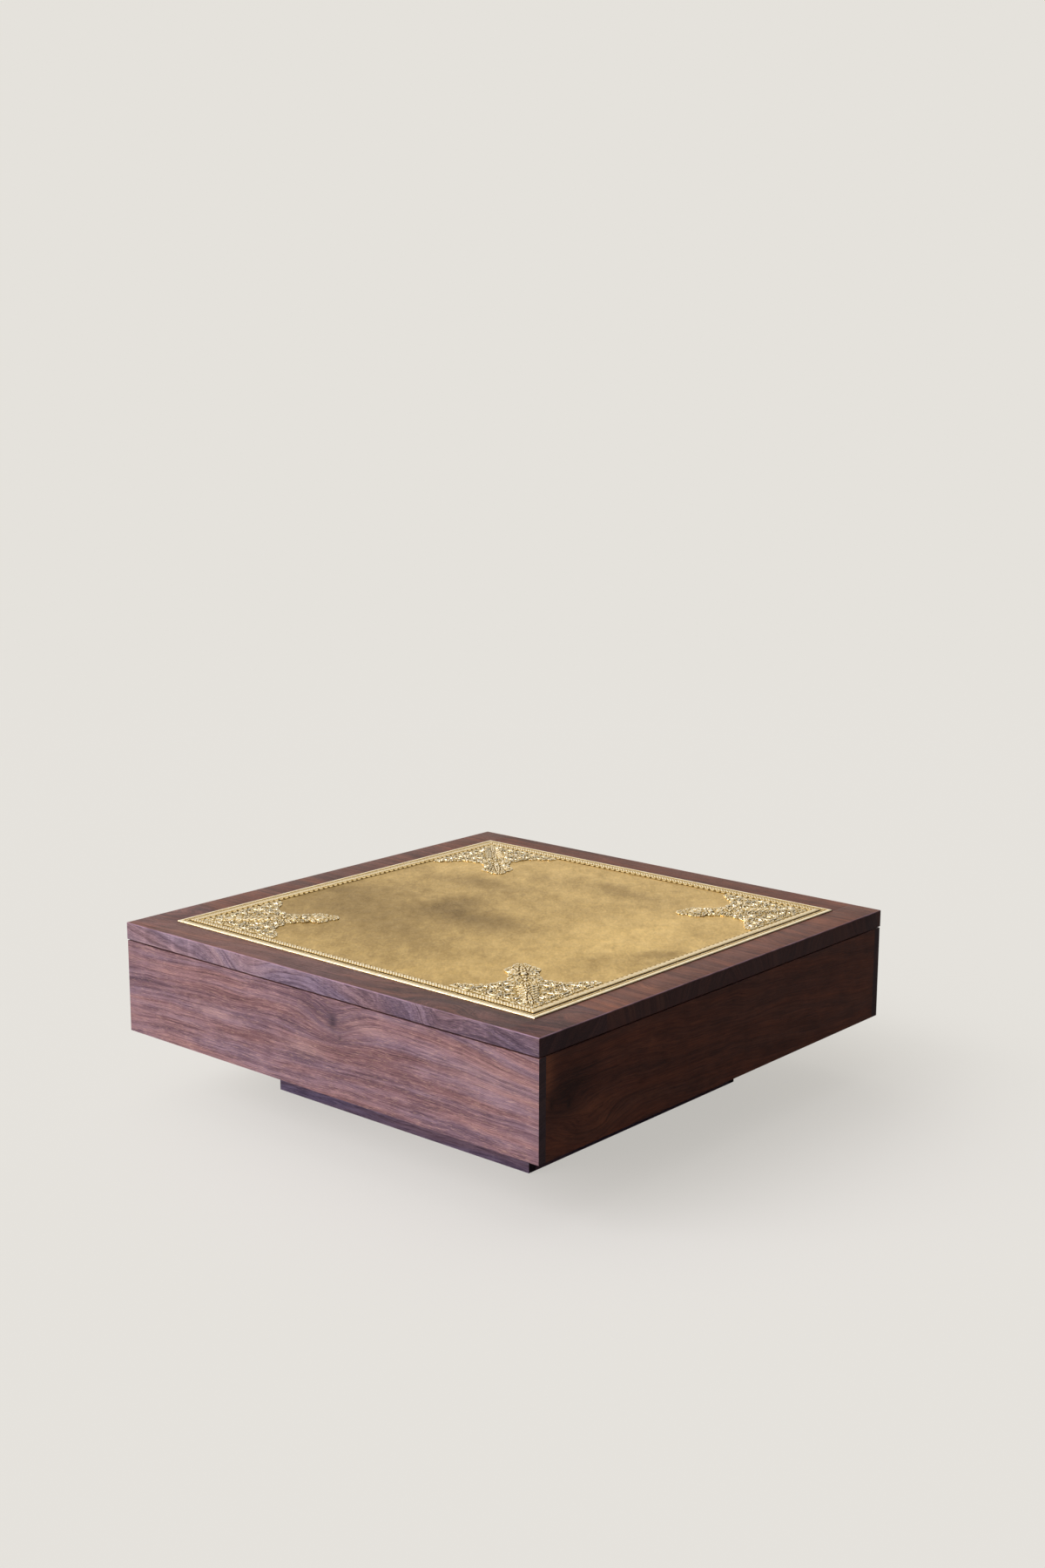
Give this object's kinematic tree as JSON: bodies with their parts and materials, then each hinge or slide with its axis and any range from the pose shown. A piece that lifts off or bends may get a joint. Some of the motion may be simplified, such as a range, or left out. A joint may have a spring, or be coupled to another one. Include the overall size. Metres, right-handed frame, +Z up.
{
  "type": "low table",
  "caption": "Low square dark-wood table on a recessed plinth, its planked top inlaid with a satin brass sheet, rope border and repoussé corner ornaments.",
  "frame": {"origin": "on the floor, under the middle of the table", "axes": "+Z up, X along the planks' grain and the front edge, -Y the front face"},
  "size_m": [1.067, 1.067, 0.364],
  "materials": {
    "top_wood": "open-grained dark rosewood, satin oil",
    "carcass_wood": "long-grained dark rosewood, satin oil",
    "plinth_wood": "near-black stained wood, matt",
    "plain_brass": "satin, hand-planished, lightly clouded",
    "relief_brass": "repousse, bright on the crests and dark in the pits",
    "plywood": "raw plywood",
    "frame_timber": "planed softwood, unfinished",
    "felt": "dense felt",
    "screw_steel": "zinc-plated"
  },
  "bodies": {
    "root": {"top_plank_1": "top_wood", "top_plank_2": "top_wood", "top_plank_3": "top_wood", "top_plank_4": "top_wood", "top_plank_5": "top_wood", "top_plank_6": "top_wood", "panel_core": "plywood", "brass_sheet": "plain_brass", "brass_border_front": "relief_brass", "brass_border_right": "relief_brass", "brass_border_back": "relief_brass", "brass_border_left": "relief_brass", "brass_ornament_front_left": "relief_brass", "brass_ornament_front_right": "relief_brass", "brass_ornament_back_right": "relief_brass", "brass_ornament_back_left": "relief_brass", "brass_pins": "relief_brass", "front_board": "carcass_wood", "right_board": "carcass_wood", "back_board": "carcass_wood", "left_board": "carcass_wood", "corner_post_front_left": "frame_timber", "corner_post_front_right": "frame_timber", "corner_post_back_right": "frame_timber", "corner_post_back_left": "frame_timber", "top_cleat_front": "frame_timber", "top_cleat_right": "frame_timber", "top_cleat_back": "frame_timber", "top_cleat_left": "frame_timber", "top_batten_1": "frame_timber", "top_batten_2": "frame_timber", "top_batten_3": "frame_timber", "base_panel": "plywood", "base_cleat_front": "frame_timber", "base_cleat_right": "frame_timber", "base_cleat_back": "frame_timber", "base_cleat_left": "frame_timber", "plinth_front": "plinth_wood", "plinth_right": "plinth_wood", "plinth_back": "plinth_wood", "plinth_left": "plinth_wood", "plinth_block_front_left": "frame_timber", "plinth_block_front_right": "frame_timber", "plinth_block_back_right": "frame_timber", "plinth_block_back_left": "frame_timber", "plinth_cleat_front": "frame_timber", "plinth_cleat_right": "frame_timber", "plinth_cleat_back": "frame_timber", "plinth_cleat_left": "frame_timber", "glide_front_left": "felt", "glide_front_right": "felt", "glide_back_right": "felt", "glide_back_left": "felt", "top_screws": "screw_steel", "carcass_screws": "screw_steel", "base_screws": "screw_steel", "plinth_screws": "screw_steel"}
  },
  "joints": []
}
